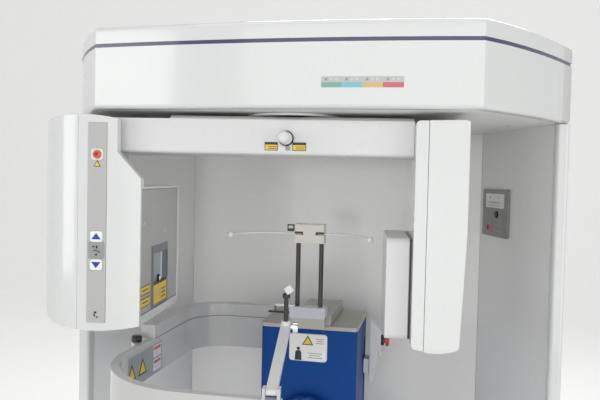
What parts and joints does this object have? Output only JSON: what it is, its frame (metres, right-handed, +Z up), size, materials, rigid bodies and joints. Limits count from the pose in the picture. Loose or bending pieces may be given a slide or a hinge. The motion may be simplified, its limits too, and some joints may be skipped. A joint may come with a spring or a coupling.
{
  "type": "seated dental cone beam scanner",
  "caption": "booth-shaped seated cone beam scanner with an overhead box, a turning gantry with tube head and detector, a lifting blue column with seat, swing ring, chin rest and head support",
  "frame": {"origin": "on the floor, straight under the gantry's vertical axis", "axes": "+X to the viewer's right when the viewer faces the booth, +Y back to the rear wall, +Z up"},
  "size_m": [1.24, 0.942, 1.83],
  "materials": {
    "white_shell": "gloss",
    "grey_panel": "gloss",
    "base_plate": "satin",
    "foot_rubber": "matt",
    "band_blue": "gloss",
    "frame_steel": "satin",
    "bright_steel": "brushed",
    "aluminium": "satin",
    "motor_paint": "satin",
    "belt": "matt",
    "dark_plate": "satin",
    "black_plastic": "satin",
    "lamp": "gloss",
    "blue_paint": "gloss",
    "blue_vinyl": "satin",
    "ring_paint": "gloss",
    "stop_red": "gloss",
    "knob_chrome": "polished",
    "cream_block": "satin"
  },
  "bodies": {
    "booth": {"floor_base": "base_plate", "levelling_feet": "foot_rubber", "back_wall": "grey_panel", "wing_panels": "grey_panel", "edge_trims": "white_shell", "outer_shell": "white_shell", "head_shell": "white_shell", "accent_band": "band_blue", "head_cap": "white_shell", "underside_pan": "grey_panel", "hub_ring": "white_shell", "main_frame": "frame_steel", "bearing_ring": "bright_steel", "drive_motor": "motor_paint", "drive_belt": "belt", "wall_plate": "dark_plate", "lift_mast": "aluminium", "actuator_tube": "motor_paint"},
    "motor_wheel": {"motor_pulley": "aluminium"},
    "wall_key": {"wall_button": "black_plastic"},
    "gantry": {"hub_shaft": "bright_steel", "gantry_frame": "frame_steel", "beam_cover": "white_shell", "beam_lid": "grey_panel", "tube_cover": "white_shell", "tube_side_cover": "white_shell", "control_strip": "grey_panel", "signal_lamp": "lamp", "inner_panel": "dark_plate", "ray_window": "dark_plate", "tube_tank": "frame_steel", "detector_cover": "white_shell", "detector_edge": "white_shell", "sensor_cover": "white_shell", "flat_panel": "black_plastic"},
    "up_key": {"up_button": "white_shell"},
    "down_key": {"down_button": "white_shell"},
    "positioning_light": {"laser_knob": "white_shell"},
    "chair": {"column_shell": "blue_paint", "column_cap": "grey_panel", "rail_housing": "grey_panel", "side_bracket": "white_shell", "stop_base": "black_plastic", "ring_arm": "ring_paint", "seat_bracket": "frame_steel", "seat_pad": "blue_vinyl", "back_pad": "blue_vinyl", "actuator_rod": "bright_steel"},
    "stop_key": {"stop_button": "stop_red"},
    "gate": {"gate_arm": "ring_paint", "hinge_cap": "black_plastic"},
    "chin_tilt": {"chin_arm": "white_shell"},
    "chin_post": {"chin_rod": "black_plastic"},
    "chin_knob": {"clamp_knob": "knob_chrome"},
    "head_slide": {"head_carriage": "aluminium", "head_rods": "black_plastic", "head_block": "cream_block"},
    "lever": {"slide_lever": "white_shell"},
    "left_temple": {"temple_left": "bright_steel"},
    "right_temple": {"temple_right": "bright_steel"}
  },
  "joints": [
    {"name": "gantry_turn", "type": "hinge", "parent": "booth", "child": "gantry", "pos_m": [0, 0, 1.66], "axis": [0, 0, 1], "range_deg": [-185, 185]},
    {"name": "motor_turn", "type": "hinge", "parent": "booth", "child": "motor_wheel", "pos_m": [0, 0.262, 1.725], "axis": [0, 0, 1], "range_deg": [-740, 740]},
    {"name": "up_press", "type": "slide", "parent": "gantry", "child": "up_key", "axis": [-0.1097, 0.994, 0], "range_m": [0, 0.0016], "stiffness_N_per_m": 400},
    {"name": "down_press", "type": "slide", "parent": "gantry", "child": "down_key", "axis": [-0.1097, 0.994, 0], "range_m": [0, 0.0016], "stiffness_N_per_m": 400},
    {"name": "light_turn", "type": "hinge", "parent": "gantry", "child": "positioning_light", "pos_m": [0.00809, -0.10977, 1.599], "axis": [-0.1097, 0.994, 0], "range_deg": [-30, 30]},
    {"name": "wall_press", "type": "slide", "parent": "booth", "child": "wall_key", "axis": [0.9436, 0.3311, 0], "range_m": [0, 0.002], "stiffness_N_per_m": 400},
    {"name": "chair_lift", "type": "slide", "parent": "booth", "child": "chair", "axis": [0, 0, 1], "range_m": [-0.25, 0]},
    {"name": "stop_press", "type": "slide", "parent": "chair", "child": "stop_key", "axis": [-1, 0, 0], "range_m": [0, 0.0035], "stiffness_N_per_m": 600},
    {"name": "gate_swing", "type": "hinge", "parent": "chair", "child": "gate", "pos_m": [-0.396, 0.04, 1.06], "axis": [0, 0, 1], "range_deg": [-95, 0]},
    {"name": "chin_tilt", "type": "hinge", "parent": "gate", "child": "chin_tilt", "pos_m": [0.033, -0.2935, 1.119], "axis": [0.9925, 0.1219, 0], "range_deg": [-4, 12]},
    {"name": "chin_height", "type": "slide", "parent": "chin_tilt", "child": "chin_post", "axis": [0, 0, 1], "range_m": [-0.03, 0.012]},
    {"name": "chin_clamp", "type": "hinge", "parent": "chin_tilt", "child": "chin_knob", "pos_m": [0.00393, -0.05677, 1.18694], "axis": [0.9925, 0.1219, 0], "range_deg": [0, 90]},
    {"name": "head_travel", "type": "slide", "parent": "chair", "child": "head_slide", "axis": [0, -1, 0], "range_m": [0, 0.05]},
    {"name": "lever_swing", "type": "hinge", "parent": "head_slide", "child": "lever", "pos_m": [-0.033, 0.172, 1.19], "axis": [0, 0, 1], "range_deg": [0, 10]},
    {"name": "left_temple_swing", "type": "hinge", "parent": "head_slide", "child": "left_temple", "pos_m": [-0.018, 0.185, 1.374], "axis": [0, 0, 1], "range_deg": [0, 10]},
    {"name": "right_temple_swing", "type": "hinge", "parent": "head_slide", "child": "right_temple", "pos_m": [0.034, 0.185, 1.374], "axis": [0, 0, 1], "range_deg": [-10, 0]}
  ],
  "couplings": [
    {"joint": "motor_turn", "follows": "gantry_turn", "ratio": 4}
  ]
}
